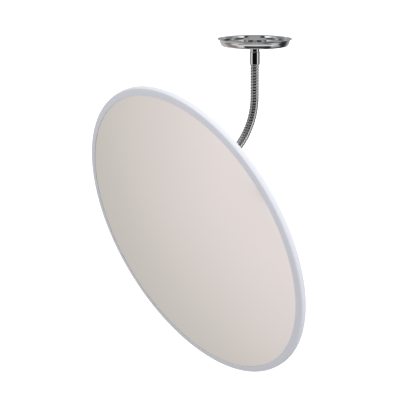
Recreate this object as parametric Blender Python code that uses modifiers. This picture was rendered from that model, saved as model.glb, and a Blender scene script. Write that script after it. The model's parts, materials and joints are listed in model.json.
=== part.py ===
"""Convex security mirror hung from a ceiling rose on a flexible gooseneck.

Frame: metres, +Z up, the mirror faces -Y. The origin is the centre of the
ceiling face, on the axis of the gooseneck's straight upper end.
"""
import math

import bpy
import bmesh
from mathutils import Matrix, Vector

# ---------------------------------------------------------------- driving sizes
MIRROR_DIAMETER = 0.400          # outside of the white edge trim
FACE_TILT = math.radians(20.0)   # how far the mirror looks down at rest
DOME_RADIUS = 0.480              # radius of curvature of the reflecting face
DOME_THICKNESS = 0.002
TRIM_FACE_WIDTH = 0.0095         # radial width of the trim's front face
TRIM_FACE_DROP = 0.0023          # how far that face falls back towards the edge
TRIM_DEPTH = 0.0100
TRIM_WALL = 0.0015
CLIP_THICKNESS = 0.0014          # the trim's rear lip
BACK_THICKNESS = 0.0018
BACK_PAN_DEPTH = 0.0185          # back of the pan behind the trim's front crest
BACK_FLOOR_RADIUS = 0.1740       # flat part of the pan, inside
BACK_FLANGE_START = 0.1830
DOME_EDGE = 0.1963               # edge of the dome, inside the trim
BACK_EDGE = 0.1970               # edge of the pan, inside the trim
TRIM_LIP = 0.0020                # how far the rear lip reaches past the trim's face

ROSE_DIAMETER = 0.095
ROSE_DEPTH = 0.010
ROSE_SHEET = 0.0012
ROSE_RIM = 0.0007                # height of the upright edge of the rim
ROSE_COVE = 0.0031               # radius of the hollow under the rim
ROSE_FLOOR_RADIUS = 0.0372       # flat part of the floor, outside
ROSE_SCREW_CIRCLE = 0.052
ROSE_SCREW_HOLE = 0.0046
HUB_DIAMETER = 0.034
HUB_SKIN = 0.0015                # closed top above the hub's threaded hole
TOOTHED_WASHER_DIAMETER = 0.018
TOOTHED_WASHER_THICKNESS = 0.0008

NECK_DIAMETER = 0.0106
NECK_STRAIGHT_TOP = 0.041        # straight run below the upper ferrule
NECK_BEND_RADIUS = 0.086
NECK_STRAIGHT_END = 0.014        # straight run before the lower ferrule
NECK_JOINTS = 12
NECK_END_PLAY = 0.0008           # between the neck's end and the ferrule's floor
LINK_GAP = 0.0011                # between the flat ends of two neighbouring links
LINK_TAPER = 0.0013
LINK_END_SCALE = 0.55

FERRULE_DIAMETER = 0.0130
FERRULE_LENGTH = 0.0217
FERRULE_COLLAR = 0.0050          # slimmer part next to the rose or the boss
FERRULE_BORE_DEPTH = 0.0120
FERRULE_EDGE = 0.0006            # height and depth of its shoulder, and its rounded mouth
STUD_DIAMETER = 0.008
STUD_END_PLAY = 0.0005
STUD_CHAMFER = 0.0008
SCREW_DIAMETER = 0.004
ATTACH_ABOVE_CENTRE = 0.065
BOSS_DIAMETER = 0.052
BOSS_HEIGHT = 0.016
BOSS_FLANGE = 0.0035
BOSS_NECK_FOOT = 0.0115          # radius of the boss's stem at its flange
BOSS_NECK_TOP = 0.0090
BOSS_SCREW_CIRCLE = 0.040
BOSS_SCREWS = 3
WASHER_DIAMETER = 0.016
WASHER_THICKNESS = 0.0010
PLATE_THICKNESS = 0.0020
PLATE_RADIUS = 0.032
STUD_NUT_FLATS = 0.0130
STUD_NUT_HEIGHT = 0.0065
SCREW_NUT_FLATS = 0.0070
SCREW_NUT_HEIGHT = 0.0032
SCREW_HEAD_RADIUS = 0.0038
SCREW_HEAD_HEIGHT = 0.0022
SCREW_SOCKET_RADIUS = 0.0014

FIT_GAP = 0.0003                 # kept between pieces that rest on each other
HOLE_PLAY = 0.0003               # radial play of a stud or screw in its hole
CUT_MARGIN = 0.002               # how far a cutter reaches past what it cuts
ROUND_STEPS = 56                 # steps round the mirror's large discs
ROSE_STEPS = 40
DOME_RINGS = 7
BOSS_STEPS = 28
FERRULE_STEPS = 20
SMALL_STEPS = 16
SCREW_HOLE_STEPS = 12
FULL_TURN = 2.0 * math.pi

# ------------------------------------------------------------- derived geometry
MIRROR_RADIUS = MIRROR_DIAMETER / 2.0
NECK_RADIUS = NECK_DIAMETER / 2.0
STUD_HOLE = STUD_DIAMETER / 2.0 + HOLE_PLAY
SCREW_HOLE = SCREW_DIAMETER / 2.0 + HOLE_PLAY
FERRULE_RADIUS = FERRULE_DIAMETER / 2.0
BEND_ANGLE = math.pi / 2.0 - FACE_TILT
LENS_EDGE = MIRROR_RADIUS - TRIM_FACE_WIDTH
FERRULE_TOP = -(ROSE_DEPTH + WASHER_THICKNESS + 2.0 * FIT_GAP)
NECK_START = FERRULE_TOP - FERRULE_LENGTH
BEND_START = NECK_STRAIGHT_TOP
BEND_END = BEND_START + NECK_BEND_RADIUS * BEND_ANGLE
NECK_LENGTH = BEND_END + NECK_STRAIGHT_END
JOINT_PITCH = NECK_LENGTH / NECK_JOINTS

BOSS_FACE = -(BACK_PAN_DEPTH + FIT_GAP)
BOSS_TOP = BOSS_FACE - BOSS_HEIGHT
LOWER_WASHER_FACE = BOSS_TOP - FIT_GAP
LOWER_FERRULE_TOP = LOWER_WASHER_FACE - WASHER_THICKNESS - FIT_GAP
LOWER_FERRULE_MOUTH = LOWER_FERRULE_TOP - FERRULE_LENGTH


def bend_at(s):
    """Angle of the neck from straight down, s metres from its upper ferrule."""
    return min(max((s - BEND_START) / NECK_BEND_RADIUS, 0.0), BEND_ANGLE)


def neck_point(s):
    """Point on the neck's centre line, s metres from its upper ferrule."""
    angle = bend_at(s)
    point = Vector((0.0, 0.0, NECK_START - min(s, BEND_START)))
    point.y -= NECK_BEND_RADIUS * (1.0 - math.cos(angle))
    point.z -= NECK_BEND_RADIUS * math.sin(angle)
    return point + neck_direction(s) * max(s - BEND_END, 0.0)


def neck_direction(s):
    """Direction of travel down the neck."""
    angle = bend_at(s)
    return Vector((0.0, -math.sin(angle), -math.cos(angle)))


def head_matrix():
    """Mirror frame: origin at the trim's front crest, +Z out of the face, +Y up it."""
    turn = Matrix.Rotation(math.pi / 2.0 + FACE_TILT, 4, "X")
    attach = Vector((0.0, ATTACH_ABOVE_CENTRE, LOWER_FERRULE_MOUTH))
    return Matrix.Translation(neck_point(NECK_LENGTH) - turn @ attach) @ turn


HEAD = head_matrix()
ATTACH = HEAD @ Matrix.Translation((0.0, ATTACH_ABOVE_CENTRE, 0.0))


# ------------------------------------------------------------------- scene set-up
def clear_scene():
    for obj in list(bpy.data.objects):
        bpy.data.objects.remove(obj, do_unlink=True)


def new_collection(name):
    collection = bpy.data.collections.new(name)
    bpy.context.scene.collection.children.link(collection)
    return collection


clear_scene()
PARTS = new_collection("convex_security_mirror")
CUTTERS = new_collection("cutters")


def material(name, colour, roughness, metallic=0.0):
    mat = bpy.data.materials.new(name)
    mat.use_nodes = True
    shader = mat.node_tree.nodes["Principled BSDF"]
    shader.inputs["Base Color"].default_value = (*colour, 1.0)
    shader.inputs["Roughness"].default_value = roughness
    shader.inputs["Metallic"].default_value = metallic
    return mat


def chrome(name):
    return material(name + "_chrome", (0.78, 0.79, 0.81), 0.08, 1.0)


def steel(name):
    return material(name + "_steel", (0.55, 0.56, 0.58), 0.35, 1.0)


# ---------------------------------------------------------------------- modelling
def place(obj, world=Matrix(), parent=None):
    """Put an object at a world matrix and keep it there under its parent."""
    obj.matrix_basis = world
    if parent is not None:
        obj.parent = parent
        obj.matrix_parent_inverse = parent.matrix_basis.inverted()
    return obj


def frame_empty(name, world, parent=None):
    empty = bpy.data.objects.new(name, None)
    empty.empty_display_size = 0.01
    PARTS.objects.link(empty)
    return place(empty, world, parent)


def filleted(corners, segments=1):
    """Outline points from (radius, height, fillet) corners, fillets as arcs."""
    outline = []
    count = len(corners)
    for index, (radius, height, fillet) in enumerate(corners):
        here = Vector((radius, height))
        if fillet <= 0.0:
            outline.append(here)
            continue
        before = (Vector(corners[index - 1][:2]) - here).normalized()
        after = (Vector(corners[(index + 1) % count][:2]) - here).normalized()
        half = before.angle(after) / 2.0
        setback = fillet / math.tan(half)
        centre = here + (before + after).normalized() * (fillet / math.sin(half))
        first = here + before * setback - centre
        last = here + after * setback - centre
        sweep = first.angle_signed(last)
        for step in range(segments + 1):
            arm = first.copy()
            arm.rotate(Matrix.Rotation(-sweep * step / segments, 2))
            outline.append(centre + arm)
    return outline


def turned(name, outline, steps, mat, world=Matrix(), parent=None):
    """A piece turned about its Z axis from an outline of (radius, height) points."""
    points = [Vector(point[:2]) for point in outline]
    area = sum(a.x * b.y - b.x * a.y for a, b in zip(points, points[1:] + points[:1]))
    if area > 0.0:
        points.reverse()
    edges = [(index, index + 1) for index in range(len(points) - 1)]
    on_axis = [index for index, point in enumerate(points) if point.x < 1e-6]
    if on_axis:
        shift = next(i for i in on_axis if (i - 1) % len(points) in on_axis)
        points = points[shift:] + points[:shift]
    else:
        edges.append((len(points) - 1, 0))
    mesh = bpy.data.meshes.new(name)
    mesh.from_pydata([(point.x, 0.0, point.y) for point in points], edges, [])
    obj = bpy.data.objects.new(name, mesh)
    PARTS.objects.link(obj)
    screw = obj.modifiers.new("turn", "SCREW")
    screw.axis = "Z"
    screw.angle = FULL_TURN
    screw.steps = screw.render_steps = steps
    screw.use_merge_vertices = True
    screw.merge_threshold = 0.00001
    screw.use_smooth_shade = True
    mesh.materials.append(mat)
    return place(obj, world, parent)


def cylinder_cutter(name, radius, bottom, top, world, sides=SMALL_STEPS):
    """A cutter standing on the Z axis of a world matrix, from bottom to top."""
    mesh = bpy.data.meshes.new(name)
    shape = bmesh.new()
    bmesh.ops.create_cone(shape, cap_ends=True, segments=sides, radius1=radius,
                          radius2=radius, depth=top - bottom)
    bmesh.ops.translate(shape, verts=shape.verts, vec=(0.0, 0.0, (top + bottom) / 2.0))
    shape.to_mesh(mesh)
    shape.free()
    cutter = bpy.data.objects.new(name, mesh)
    cutter.hide_render = True
    cutter.display_type = "WIRE"
    CUTTERS.objects.link(cutter)
    return place(cutter, world)


def cut(obj, cutter):
    boolean = obj.modifiers.new("cut_" + cutter.name, "BOOLEAN")
    boolean.operation = "DIFFERENCE"
    boolean.solver = "EXACT"
    boolean.object = cutter


def round_spots(circle, count):
    """Points evenly spaced round a circle, the first one on +X."""
    for index in range(count):
        angle = FULL_TURN * index / count
        yield index + 1, Vector((math.cos(angle), math.sin(angle), 0.0)) * circle / 2.0


def arc(centre, radius, start, end, segments):
    """Outline points on an arc between two angles from the radial direction."""
    points = []
    for step in range(segments + 1):
        angle = start + (end - start) * step / segments
        points.append((centre[0] + radius * math.cos(angle),
                       centre[1] + radius * math.sin(angle)))
    return points


def washer(name, outer, thickness, face, world, parent, mat):
    """A flat ring for the stud, lying from face down to face - thickness."""
    outline = [(outer / 2.0, face), (outer / 2.0, face - thickness),
               (STUD_HOLE, face - thickness), (STUD_HOLE, face)]
    return turned(name, outline, SMALL_STEPS, mat, world, parent)


def hex_nut(name, across_flats, height, face, hole, world, parent, mat):
    """A hexagon nut standing from face up to face + height."""
    radius = across_flats / math.sqrt(3.0)
    mesh = bpy.data.meshes.new(name)
    shape = bmesh.new()
    bmesh.ops.create_cone(shape, cap_ends=True, segments=6, radius1=radius,
                          radius2=radius, depth=height)
    bmesh.ops.translate(shape, verts=shape.verts, vec=(0.0, 0.0, face + height / 2.0))
    shape.to_mesh(mesh)
    shape.free()
    mesh.materials.append(mat)
    nut = bpy.data.objects.new(name, mesh)
    PARTS.objects.link(nut)
    place(nut, world, parent)
    cut(nut, cylinder_cutter(name + "_hole", hole, face - CUT_MARGIN,
                             face + height + CUT_MARGIN, world))
    return nut


def stud(name, bottom, top, world, parent):
    """A plain threaded stud, its thread shown only by the chamfered ends."""
    radius = STUD_DIAMETER / 2.0
    tip = radius - STUD_CHAMFER
    outline = [(0.0, top), (tip, top), (radius, top - STUD_CHAMFER),
               (radius, bottom + STUD_CHAMFER), (tip, bottom), (0.0, bottom)]
    return turned(name, outline, SMALL_STEPS, steel(name), world, parent)


def ferrule(name, world, parent):
    """A closed sleeve hanging from z = 0 of its frame, with its mouth at the bottom."""
    collar = FERRULE_RADIUS - FERRULE_EDGE
    mouth = NECK_RADIUS + HOLE_PLAY
    floor = FERRULE_BORE_DEPTH - FERRULE_LENGTH
    outline = filleted([
        (collar, 0.0, 0.0), (collar, -FERRULE_COLLAR, 0.0),
        (FERRULE_RADIUS, -FERRULE_COLLAR - FERRULE_EDGE, 0.0),
        (FERRULE_RADIUS, -FERRULE_LENGTH, FERRULE_EDGE), (mouth, -FERRULE_LENGTH, 0.0),
        (mouth, floor, 0.0), (STUD_HOLE, floor, 0.0), (STUD_HOLE, 0.0, 0.0)])
    return turned(name, outline, FERRULE_STEPS, chrome(name), world, parent)


# -------------------------------------------------------------------- ceiling rose
def ceiling_rose(parent):
    """Dish of spun sheet: open towards the ceiling, drilled for three screws.

    Outside it has a hollow cove under its rim and a bulging wall below that.
    """
    rim = ROSE_DIAMETER / 2.0
    sheet = ROSE_SHEET
    cove = arc((rim, -ROSE_RIM - ROSE_COVE), ROSE_COVE, math.pi / 2.0, math.pi, 3)
    wall = rim - ROSE_COVE
    bulge = [(wall - 0.0005, -0.0055), (wall - 0.0024, -0.0082),
             (wall - 0.0044, -0.0096), (ROSE_FLOOR_RADIUS, -ROSE_DEPTH)]
    hole = [(STUD_HOLE, -ROSE_DEPTH), (STUD_HOLE, sheet - ROSE_DEPTH)]
    inside = [(ROSE_FLOOR_RADIUS - 0.0003, sheet - ROSE_DEPTH),
              (wall - 0.0034, -0.0075), (wall - sheet - 0.0005, -0.0051),
              (wall - sheet, -0.0030), (wall + 0.0004, -0.0007), (rim - sheet, 0.0)]
    outline = [(rim, 0.0)] + cove + bulge + hole + inside
    rose = turned("ceiling_rose", outline, ROSE_STEPS, chrome("ceiling_rose"),
                  parent=parent)
    for index, spot in round_spots(ROSE_SCREW_CIRCLE, 3):
        cut(rose, cylinder_cutter("rose_screw_hole_%d" % index, ROSE_SCREW_HOLE / 2.0,
                                  -ROSE_DEPTH - CUT_MARGIN,
                                  sheet - ROSE_DEPTH + CUT_MARGIN,
                                  Matrix.Translation(spot)))


def rose_fixings(parent):
    """Round clamp hub, toothed washer, stud, outside washer and upper ferrule."""
    floor = ROSE_SHEET - ROSE_DEPTH + FIT_GAP
    washer_top = floor + TOOTHED_WASHER_THICKNESS
    washer("hub_lock_washer", TOOTHED_WASHER_DIAMETER, TOOTHED_WASHER_THICKNESS,
           washer_top, Matrix(), parent, steel("hub_lock_washer"))
    foot = washer_top + FIT_GAP
    radius = HUB_DIAMETER / 2.0
    outline = filleted([
        (0.0, 0.0, 0.0), (radius - 0.0025, 0.0, 0.0010), (radius - 0.0006, -0.0040, 0.0008),
        (radius, foot, 0.0), (STUD_HOLE, foot, 0.0), (STUD_HOLE, -HUB_SKIN, 0.0),
        (0.0, -HUB_SKIN, 0.0)])
    turned("rose_clamp_hub", outline, BOSS_STEPS, chrome("rose_clamp_hub"), parent=parent)
    washer("rose_washer", WASHER_DIAMETER, WASHER_THICKNESS, -ROSE_DEPTH - FIT_GAP,
           Matrix(), parent, chrome("rose_washer"))
    stud("upper_stud", ferrule_floor(FERRULE_TOP), -HUB_SKIN - STUD_END_PLAY, Matrix(),
         parent)
    ferrule("upper_ferrule", Matrix.Translation((0.0, 0.0, FERRULE_TOP)), parent)


def ferrule_floor(top):
    """Height of a stud's end inside a ferrule whose top is given."""
    return top - FERRULE_LENGTH + FERRULE_BORE_DEPTH + STUD_END_PLAY


# ----------------------------------------------------------------------- gooseneck
def joint_position(index):
    """Distance down the neck of a joint; the first one has index 0."""
    return (index + 0.5) * JOINT_PITCH


def joint_empties(root):
    """One empty on each joint, its X axis along the joint's hinge axis.

    Even joints bend the neck fore and aft, odd ones bend it sideways.
    """
    empties = []
    parent = root
    for index in range(NECK_JOINTS):
        s = joint_position(index)
        bend = Matrix.Rotation(-bend_at(s), 4, "X")
        if index % 2:
            bend = bend @ Matrix.Rotation(math.pi / 2.0, 4, "Z")
        world = Matrix.Translation(neck_point(s)) @ bend
        parent = frame_empty("neck_joint_%02d" % (index + 1), world, parent)
        empties.append(parent)
    return empties


def neck_piece(name, start, end, taper_start, taper_end, mat, parent):
    """A length of the neck, slimmer at an end that faces another piece."""
    middle = [start + (end - start) * share for share in (0.25, 0.5, 0.75)]
    stations = [(start, LINK_END_SCALE if taper_start else 1.0)]
    if taper_start:
        stations.append((start + LINK_TAPER, 1.0))
    stations += [(s, 1.0) for s in middle]
    if taper_end:
        stations.append((end - LINK_TAPER, 1.0))
    stations.append((end, LINK_END_SCALE if taper_end else 1.0))
    curve = bpy.data.curves.new(name, "CURVE")
    curve.dimensions = "3D"
    curve.bevel_depth = NECK_RADIUS
    curve.bevel_resolution = 2
    curve.use_fill_caps = True
    spline = curve.splines.new("POLY")
    spline.points.add(len(stations) - 1)
    for point, (s, scale) in zip(spline.points, stations):
        point.co = (*neck_point(s), 1.0)
        point.radius = scale
    curve.materials.append(mat)
    obj = bpy.data.objects.new(name, curve)
    PARTS.objects.link(obj)
    return place(obj, Matrix(), parent)


def gooseneck(root, joints):
    """Twelve joints let eleven rigid links follow the neck's springy bend."""
    mat = chrome("gooseneck")
    half_gap = LINK_GAP / 2.0
    inside = FERRULE_BORE_DEPTH - NECK_END_PLAY
    neck_piece("gooseneck_upper_end", -inside, joint_position(0) - half_gap,
               False, True, mat, root)
    for index in range(NECK_JOINTS - 1):
        neck_piece("gooseneck_link_%02d" % (index + 1),
                   joint_position(index) + half_gap,
                   joint_position(index + 1) - half_gap, True, True, mat, joints[index])
    neck_piece("gooseneck_lower_end", joint_position(NECK_JOINTS - 1) + half_gap,
               NECK_LENGTH + inside, True, False, mat, joints[-1])


# ---------------------------------------------------------------------- mirror head
def mirror_dome(parent):
    """Thin formed acrylic cap, silvered on its inner side."""
    apex = DOME_RADIUS - math.sqrt(DOME_RADIUS ** 2 - LENS_EDGE ** 2)
    apex -= TRIM_WALL + FIT_GAP
    edge_angle = math.asin(DOME_EDGE / DOME_RADIUS)
    centre = apex - DOME_RADIUS

    top = math.pi / 2.0
    front = arc((0.0, centre), DOME_RADIUS, top, top - edge_angle, DOME_RINGS)
    inside = arc((0.0, centre), DOME_RADIUS - DOME_THICKNESS, top - edge_angle, top,
                 DOME_RINGS)
    outline = front + inside
    turned("mirror_dome", outline, ROUND_STEPS,
           material("mirror_dome_silvered", (0.86, 0.82, 0.80), 0.05, 1.0), HEAD, parent)


def edge_trim(parent):
    """White channel round the edge, holding the dome against the back."""
    outer = MIRROR_RADIUS
    inner_wall = outer - 0.0020
    lip_front = CLIP_THICKNESS - TRIM_DEPTH
    outline = filleted([
        (LENS_EDGE, 0.0, 0.0), (outer - 0.0006, -TRIM_FACE_DROP, 0.0015),
        (outer, -0.0046, 0.0010), (outer, -TRIM_DEPTH, 0.0014),
        (LENS_EDGE - TRIM_LIP, -TRIM_DEPTH, 0.0), (LENS_EDGE - TRIM_LIP, lip_front, 0.0),
        (inner_wall, lip_front, 0.0), (inner_wall, -TRIM_FACE_DROP - TRIM_WALL, 0.0),
        (LENS_EDGE, -TRIM_WALL, 0.0)])
    turned("edge_trim", outline, ROUND_STEPS,
           material("edge_trim_plastic", (0.87, 0.88, 0.92), 0.42), HEAD, parent)


def drill_for_boss(piece, bottom, top):
    """Stud hole and screw holes of the gooseneck boss, through a piece of the head."""
    name = piece.name
    cut(piece, cylinder_cutter(name + "_stud_hole", STUD_HOLE, bottom, top, ATTACH))
    for index, spot in round_spots(BOSS_SCREW_CIRCLE, BOSS_SCREWS):
        cut(piece, cylinder_cutter("%s_screw_hole_%d" % (name, index), SCREW_HOLE,
                                   bottom, top, ATTACH @ Matrix.Translation(spot),
                                   SCREW_HOLE_STEPS))


def back_plate(parent):
    """Shallow moulded pan that closes the back."""
    thick = BACK_THICKNESS
    slope = 0.0012               # how much further out the sloping wall is outside
    flange_back = CLIP_THICKNESS + FIT_GAP - TRIM_DEPTH
    flange_front = flange_back + thick
    floor_back = -BACK_PAN_DEPTH
    floor_front = floor_back + thick
    outline = [
        (0.0, floor_front), (BACK_FLOOR_RADIUS, floor_front),
        (BACK_FLANGE_START, flange_front), (BACK_EDGE, flange_front),
        (BACK_EDGE, flange_back), (BACK_FLANGE_START + slope, flange_back),
        (BACK_FLOOR_RADIUS + slope, floor_back), (0.0, floor_back)]
    plate = turned("back_plate", outline, ROUND_STEPS,
                   material("back_plate_plastic", (0.83, 0.84, 0.86), 0.5), HEAD, parent)
    drill_for_boss(plate, floor_back - CUT_MARGIN, floor_front + CUT_MARGIN)


def boss_hardware(parent):
    """Boss, inner plate, screws, nuts, stud and ferrule that join neck and mirror."""
    flange = BOSS_DIAMETER / 2.0
    flange_back = BOSS_FACE - BOSS_FLANGE
    outline = filleted([
        (flange, BOSS_FACE, 0.0), (flange, flange_back, 0.0010),
        (BOSS_NECK_FOOT, flange_back, 0.0025), (BOSS_NECK_TOP, BOSS_TOP, 0.0010),
        (STUD_HOLE, BOSS_TOP, 0.0), (STUD_HOLE, BOSS_FACE, 0.0)])
    boss = turned("gooseneck_boss", outline, BOSS_STEPS, chrome("gooseneck_boss"), ATTACH,
                  parent)
    for index, spot in round_spots(BOSS_SCREW_CIRCLE, BOSS_SCREWS):
        cut(boss, cylinder_cutter("gooseneck_boss_screw_hole_%d" % index, SCREW_HOLE,
                                  flange_back - CUT_MARGIN, BOSS_FACE + CUT_MARGIN,
                                  ATTACH @ Matrix.Translation(spot), SCREW_HOLE_STEPS))

    plate_back = -BACK_PAN_DEPTH + BACK_THICKNESS + FIT_GAP
    plate_front = plate_back + PLATE_THICKNESS
    plate = turned("reinforcing_plate",
                   [(0.0, plate_front), (PLATE_RADIUS, plate_front),
                    (PLATE_RADIUS, plate_back), (0.0, plate_back)],
                   BOSS_STEPS, steel("reinforcing_plate"), ATTACH, parent)
    drill_for_boss(plate, plate_back - CUT_MARGIN, plate_front + CUT_MARGIN)

    nut_face = plate_front + FIT_GAP
    for index, spot in round_spots(BOSS_SCREW_CIRCLE, BOSS_SCREWS):
        world = ATTACH @ Matrix.Translation(spot)
        boss_screw("boss_screw_%d" % index, flange_back - FIT_GAP,
                   nut_face + SCREW_NUT_HEIGHT + 0.0015, world, parent)
        hex_nut("boss_nut_%d" % index, SCREW_NUT_FLATS, SCREW_NUT_HEIGHT, nut_face,
                SCREW_HOLE, world, parent, steel("boss_nut_%d" % index))

    washer_face = nut_face + WASHER_THICKNESS
    washer("stud_washer", WASHER_DIAMETER, WASHER_THICKNESS, washer_face, ATTACH, parent,
           steel("stud_washer"))
    hex_nut("stud_nut", STUD_NUT_FLATS, STUD_NUT_HEIGHT, washer_face + FIT_GAP, STUD_HOLE,
            ATTACH, parent, steel("stud_nut"))
    stud("lower_stud", ferrule_floor(LOWER_FERRULE_TOP),
         washer_face + STUD_NUT_HEIGHT + 0.0020, ATTACH, parent)
    washer("boss_washer", WASHER_DIAMETER, WASHER_THICKNESS, LOWER_WASHER_FACE, ATTACH,
           parent, chrome("boss_washer"))
    ferrule("lower_ferrule", ATTACH @ Matrix.Translation((0.0, 0.0, LOWER_FERRULE_TOP)),
            parent)


def boss_screw(name, seat, tip, world, parent):
    """Button-head socket screw: its head sits behind seat, its shank runs to tip."""
    shank = SCREW_DIAMETER / 2.0
    chamfer = shank * 0.2
    back = seat - SCREW_HEAD_HEIGHT
    head_edge = seat - SCREW_HEAD_HEIGHT / 3.0
    outline = [
        (0.0, tip), (shank - chamfer, tip), (shank, tip - chamfer), (shank, seat),
        (SCREW_HEAD_RADIUS, seat), (SCREW_HEAD_RADIUS, head_edge),
        (SCREW_HEAD_RADIUS * 0.7, back), (0.0, back)]
    screw = turned(name, outline, SMALL_STEPS, steel(name), world, parent)
    cut(screw, cylinder_cutter(name + "_socket", SCREW_SOCKET_RADIUS, back - CUT_MARGIN,
                               head_edge, world, 6))


# ------------------------------------------------------------------------- assembly
def build():
    root = frame_empty("ceiling_mount_frame", Matrix())
    joints = joint_empties(root)
    head = frame_empty("mirror_head_frame", HEAD, joints[-1])
    ceiling_rose(root)
    rose_fixings(root)
    gooseneck(root, joints)
    mirror_dome(head)
    edge_trim(head)
    back_plate(head)
    boss_hardware(head)


build()
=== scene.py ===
"""Looks of a convex security mirror hung on a gooseneck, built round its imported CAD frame."""
import json
import math

import bpy
import bmesh
from mathutils import Matrix, Vector

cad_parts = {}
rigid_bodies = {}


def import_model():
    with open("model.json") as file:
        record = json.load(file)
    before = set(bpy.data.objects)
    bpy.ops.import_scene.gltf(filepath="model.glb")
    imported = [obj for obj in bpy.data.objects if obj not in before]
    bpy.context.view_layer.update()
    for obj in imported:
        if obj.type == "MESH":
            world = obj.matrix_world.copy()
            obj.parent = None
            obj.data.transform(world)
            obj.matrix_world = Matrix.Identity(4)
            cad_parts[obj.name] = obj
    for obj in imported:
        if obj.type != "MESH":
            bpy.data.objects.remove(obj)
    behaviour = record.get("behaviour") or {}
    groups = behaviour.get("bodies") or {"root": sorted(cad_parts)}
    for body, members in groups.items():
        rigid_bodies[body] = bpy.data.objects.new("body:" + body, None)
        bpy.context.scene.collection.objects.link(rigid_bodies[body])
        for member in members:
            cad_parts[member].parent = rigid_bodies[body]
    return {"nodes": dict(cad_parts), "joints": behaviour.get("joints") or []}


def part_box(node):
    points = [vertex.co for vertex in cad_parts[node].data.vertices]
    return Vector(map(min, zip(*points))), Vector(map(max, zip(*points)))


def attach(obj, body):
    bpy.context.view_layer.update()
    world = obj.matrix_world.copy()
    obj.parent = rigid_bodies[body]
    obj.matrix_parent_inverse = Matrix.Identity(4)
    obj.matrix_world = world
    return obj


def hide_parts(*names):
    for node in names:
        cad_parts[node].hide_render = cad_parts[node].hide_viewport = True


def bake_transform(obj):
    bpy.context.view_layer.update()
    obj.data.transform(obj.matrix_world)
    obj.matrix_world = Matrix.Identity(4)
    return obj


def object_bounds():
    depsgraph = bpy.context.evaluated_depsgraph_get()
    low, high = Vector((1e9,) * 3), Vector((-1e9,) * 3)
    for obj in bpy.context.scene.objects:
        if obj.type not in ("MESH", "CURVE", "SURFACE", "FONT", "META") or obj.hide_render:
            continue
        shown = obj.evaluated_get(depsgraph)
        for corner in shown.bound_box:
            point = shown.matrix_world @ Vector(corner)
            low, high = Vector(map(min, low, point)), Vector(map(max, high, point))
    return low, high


for leftover in list(bpy.data.objects):
    bpy.data.objects.remove(leftover, do_unlink=True)

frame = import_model()
CAD_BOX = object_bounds()
NODES = frame["nodes"]
JOINTS = frame["joints"]
X_AXIS = Vector((1.0, 0.0, 0.0))
FULL_TURN = 2.0 * math.pi

# ----------------------------------------------------------------- fineness of meshes
DISC_STEPS = 256              # steps round the mirror's large discs
ROSE_STEPS = 192
BOSS_STEPS = 128
HUB_STEPS = 96
SMALL_STEPS = 64
SCREW_STEPS = 48
STUD_STEPS = 40
HOLE_STEPS = 32
FILLET_STEPS = 6
SMALL_FILLET_STEPS = 4
MERGE_DISTANCE = 1e-7
SHARP = 32.0                  # degrees; edges that turn by more are not smoothed

# ------------------------------------------------------------------ sizes of detail
WIRE_PITCH = 0.0036           # one turn of the gooseneck's wires
WIRE_STEPS = 28               # steps in one turn of a wire
COIL_RADIUS = 0.0041          # centre line of the round inner wire
COIL_WIRE = 0.00095           # radius of that wire
NECK_INSIDE = 0.0080          # length of neck hidden in each ferrule
STUD_RADIUS = 0.0040
STUD_PITCH = 0.00125
STUD_THREAD_DEPTH = 0.00065
STUD_HOLE = 0.0043            # radius of the holes the studs pass through
BOSS_CIRCLE = 0.040           # diameter of the boss screws' circle
SCREW_RADIUS = 0.0020         # the boss screws' thread
SCREW_HOLE = 0.0023
SEAM_WIDTH = 0.0003           # butt joint of the trim, at the mirror's lowest point

# --------------------------------------------------------------------- camera place
CAMERA_AZIMUTH = math.radians(52.45)
CAMERA_ELEVATION = math.radians(9.7)
CAMERA_DISTANCE = 2.975
CAMERA_LENS = 207.7           # millimetres, as is the sensor's width
CAMERA_SENSOR = 36.0
AIM_ACROSS = -0.0698          # the point looked at, along the picture's right
AIM_HEIGHT = -0.2087
FLOOR_DROP = 1.15             # from the mirror's lowest point


def camera_axes():
    """Unit vectors to the picture's right, up, and back towards the camera."""
    a, e = CAMERA_AZIMUTH, CAMERA_ELEVATION
    back = Vector((math.sin(a) * math.cos(e), -math.cos(a) * math.cos(e), math.sin(e)))
    right = Vector((math.cos(a), math.sin(a), 0.0))
    return right, back.cross(right), back


RIGHT, UP, BACK = camera_axes()
FLAT_BACK = Vector((BACK.x, BACK.y, 0.0)).normalized()
MIRROR_VIEW = (-0.79, -0.33, -0.52)     # the camera's view, reflected off the mirror's middle
WARM_FAR = (0.56, 0.53, 0.49, 1.0)      # the warm room's tone, away from the camera
WARM_NEAR = (0.80, 0.74, 0.725, 1.0)    # and beside it


# -------------------------------------------------------------- places in the frame
def local_box(node, base):
    """Lowest and highest corner of a CAD node, in a frame."""
    inverse = base.inverted()
    points = [inverse @ vertex.co for vertex in NODES[node].data.vertices]
    low = Vector([min(point[axis] for point in points) for axis in range(3)])
    high = Vector([max(point[axis] for point in points) for axis in range(3)])
    return low, high


def head_frame():
    """Origin at the centre of the trim's front, +Z out of the mirror, +Y up it."""
    out = Vector(JOINTS[-1]["axis"]).cross(X_AXIS).normalized()
    up = out.cross(X_AXIS)
    turn = Matrix((X_AXIS, up, out)).transposed().to_4x4()
    low, high = local_box("edge_trim", turn)
    centre = (low + high) / 2.0
    centre.z = high.z
    return turn @ Matrix.Translation(centre)


HEAD = head_frame()


def size_in(node, base):
    """Radius, lowest z and highest z of a round CAD node in a frame."""
    low, high = local_box(node, base)
    return (high.x - low.x) / 2.0, low.z, high.z


def attach_frame():
    """The mirror's frame moved onto the axis of the gooseneck's boss."""
    low, high = local_box("gooseneck_boss", HEAD)
    return HEAD @ Matrix.Translation(((low.x + high.x) / 2.0, (low.y + high.y) / 2.0, 0.0))


ATTACH = attach_frame()
HOME = Matrix()
NECK_RADIUS = size_in("gooseneck_upper_end", HOME)[0]


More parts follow.
